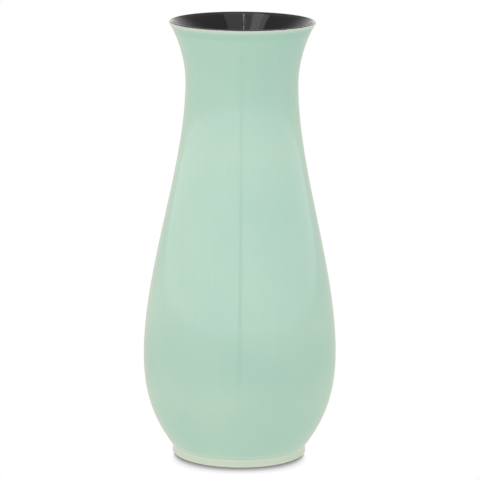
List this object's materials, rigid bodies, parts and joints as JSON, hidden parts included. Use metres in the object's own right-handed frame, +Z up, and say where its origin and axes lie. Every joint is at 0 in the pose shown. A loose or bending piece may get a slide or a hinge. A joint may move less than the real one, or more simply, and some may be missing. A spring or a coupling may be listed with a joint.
{
  "type": "vase",
  "caption": "Round porcelain vase, pear-shaped body on a low foot ring with a slim neck and flared lip, green glaze outside and black inside.",
  "frame": {"origin": "centre of the foot ring on the surface that the vase stands on", "axes": "+Z up along the vase's axis, from the foot to the lip"},
  "size_m": [0.1322, 0.1322, 0.2996],
  "materials": {
    "bare_porcelain": "unglazed, ground smooth",
    "porcelain": "fired body under the glaze",
    "green_glaze": "glossy",
    "pale_glaze": "glossy, thin over the lip",
    "black_glaze": "glossy",
    "clear_glaze": "glossy"
  },
  "bodies": {
    "root": {"foot_ring": "bare_porcelain", "lower_body": "porcelain", "upper_body": "porcelain", "outer_glaze": "green_glaze", "lip_glaze": "pale_glaze", "inner_glaze": "black_glaze", "base_glaze": "clear_glaze"}
  },
  "joints": []
}
